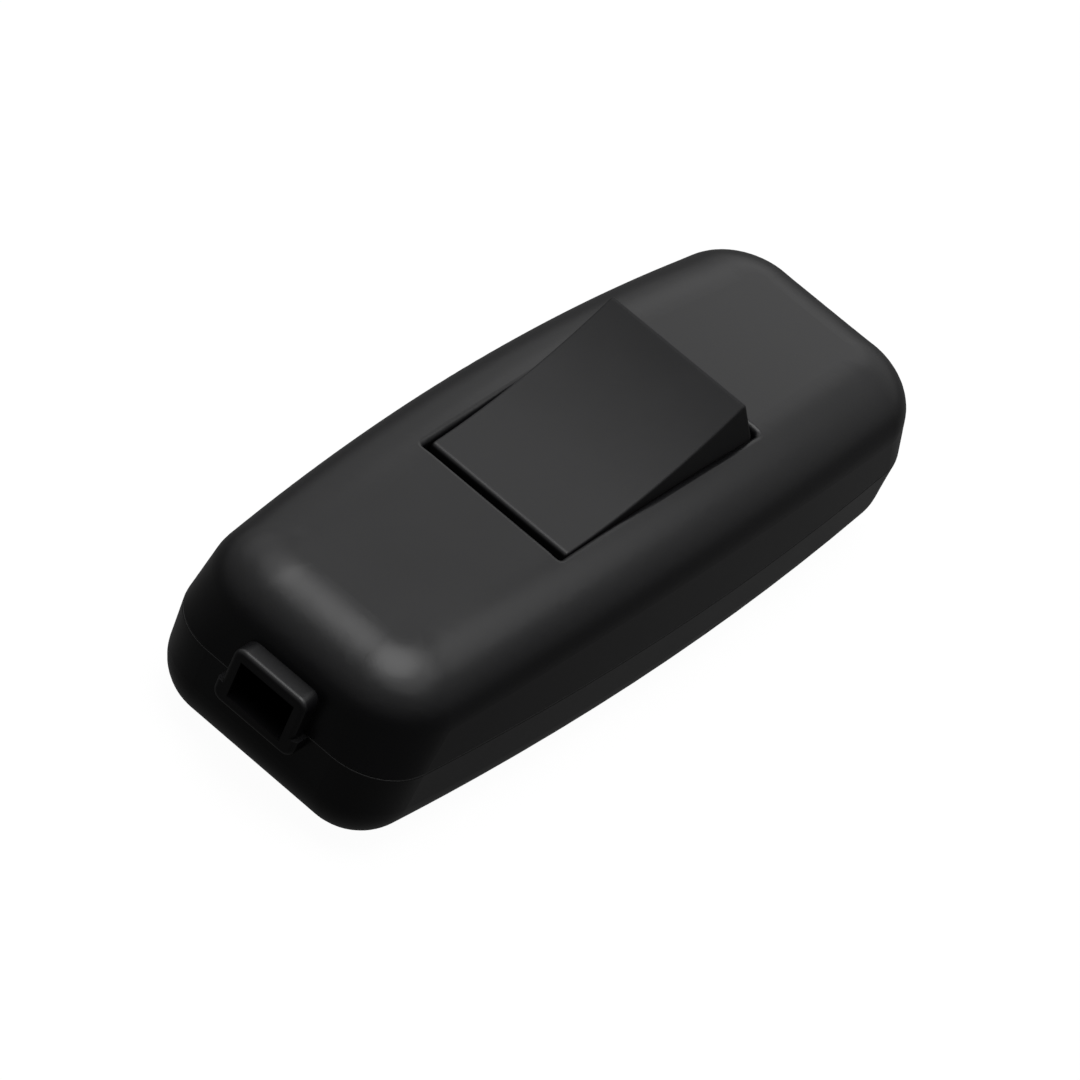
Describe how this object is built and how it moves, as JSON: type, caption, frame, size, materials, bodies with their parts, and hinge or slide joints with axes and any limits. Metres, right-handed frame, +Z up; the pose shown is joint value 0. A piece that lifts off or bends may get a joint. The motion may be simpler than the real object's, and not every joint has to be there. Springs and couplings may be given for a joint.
{
  "type": "inline cord switch",
  "caption": "Black moulded inline cord switch: an arched two-part housing with a collared flat-flex entry at each end and a dished rocker that tilts in its top.",
  "frame": {"origin": "centre of the flat underside, on the surface that the switch lies on", "axes": "+X along the cord, towards the end where the rocker stands up; +Y across; +Z up, out of the rocker's side"},
  "size_m": [0.0688, 0.0244, 0.0217],
  "materials": {
    "housing_plastic": "satin moulded, very fine texture",
    "rocker_plastic": "satin moulded",
    "plunger_plastic": "natural moulded",
    "clamp_plastic": "moulded",
    "contact_brass": "stamped",
    "contact_silver": "plain",
    "screw_steel": "zinc plated",
    "spring_steel": "bright drawn"
  },
  "bodies": {
    "housing": {"top_shell": "housing_plastic", "base_shell": "housing_plastic", "pivot_terminal": "contact_brass", "fixed_contact": "contact_brass", "fixed_contact_tip": "contact_silver", "live_in_block": "contact_brass", "live_out_block": "contact_brass", "neutral_link": "contact_brass", "cord_clamp_near": "clamp_plastic", "cord_clamp_far": "clamp_plastic", "terminal_screw_1": "screw_steel", "terminal_screw_2": "screw_steel", "terminal_screw_3": "screw_steel", "terminal_screw_4": "screw_steel", "clamp_screw_1": "screw_steel", "clamp_screw_2": "screw_steel", "clamp_screw_3": "screw_steel", "clamp_screw_4": "screw_steel", "housing_screw_1": "screw_steel", "housing_screw_2": "screw_steel"},
    "rocker": {"rocker": "rocker_plastic", "rocker_spring": "spring_steel"},
    "plunger": {"plunger": "plunger_plastic"},
    "contact": {"contact_rocker": "contact_brass", "moving_contact_tip": "contact_silver"}
  },
  "joints": [
    {"name": "rocker_tilt", "type": "hinge", "parent": "housing", "child": "rocker", "pos_m": [0, 0, 0.01355], "axis": [0, 1, 0], "range_deg": [0, 31]},
    {"name": "plunger_slide", "type": "slide", "parent": "rocker", "child": "plunger", "axis": [-0.2672, 0, 0.9636], "range_m": [0, 0.0008], "stiffness_N_per_m": 400, "springref_m": -0.002, "deforming": ["rocker_spring"]},
    {"name": "contact_tilt", "type": "hinge", "parent": "housing", "child": "contact", "pos_m": [0, 0, 0.0061], "axis": [0, 1, 0], "range_deg": [-24, 0]}
  ],
  "couplings": [
    {"joint": "contact_tilt", "follows": "rocker_tilt", "ratio": -0.774}
  ]
}
